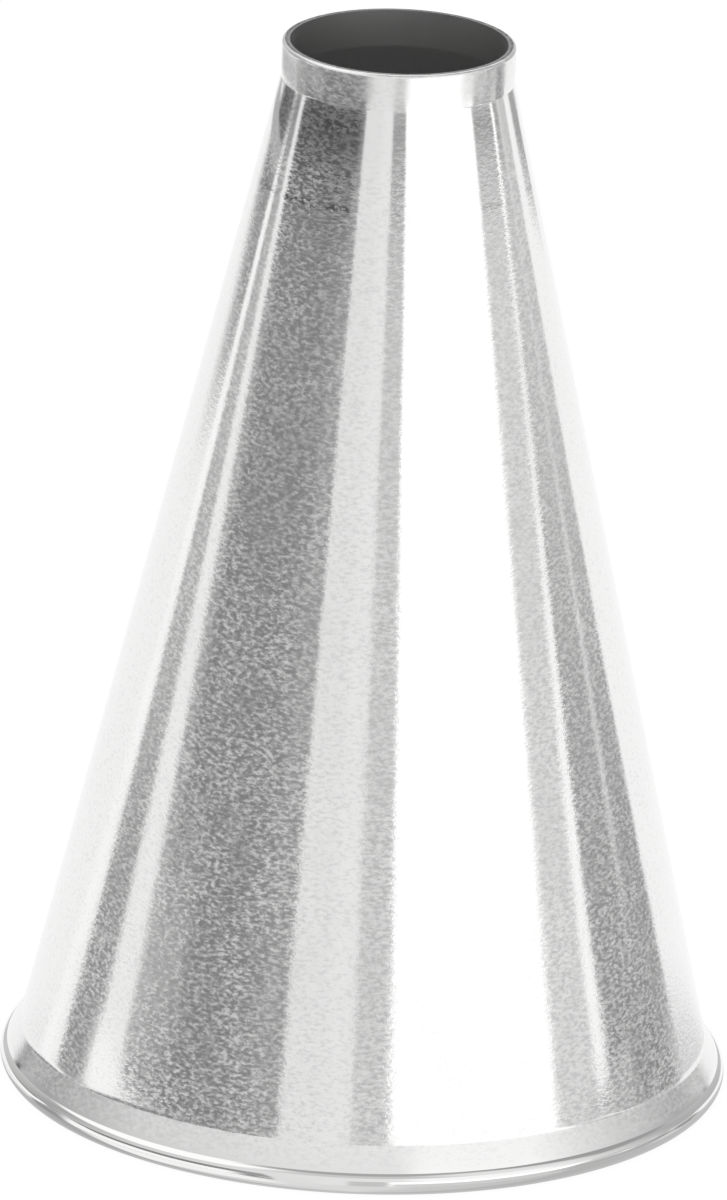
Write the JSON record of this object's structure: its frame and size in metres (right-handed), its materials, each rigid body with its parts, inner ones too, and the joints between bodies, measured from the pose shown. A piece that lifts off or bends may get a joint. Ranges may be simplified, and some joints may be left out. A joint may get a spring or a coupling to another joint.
{
  "type": "piping nozzle",
  "caption": "Plain round piping nozzle: a drawn sheet-steel cone with a short straight land at its round tip and a flared, wired base edge.",
  "frame": {"origin": "centre of the base, on the plane that the bead stands on", "axes": "+Z along the nozzle's axis towards the tip; X and Y are any two directions square to it, with the pictured side towards -Y"},
  "size_m": [0.0338, 0.0338, 0.05],
  "materials": {
    "shell_steel": "bright drawn sheet with a fine grain",
    "wire_steel": "plain drawn wire"
  },
  "bodies": {
    "root": {"cone_shell": "shell_steel", "rim_wire": "wire_steel"}
  },
  "joints": []
}
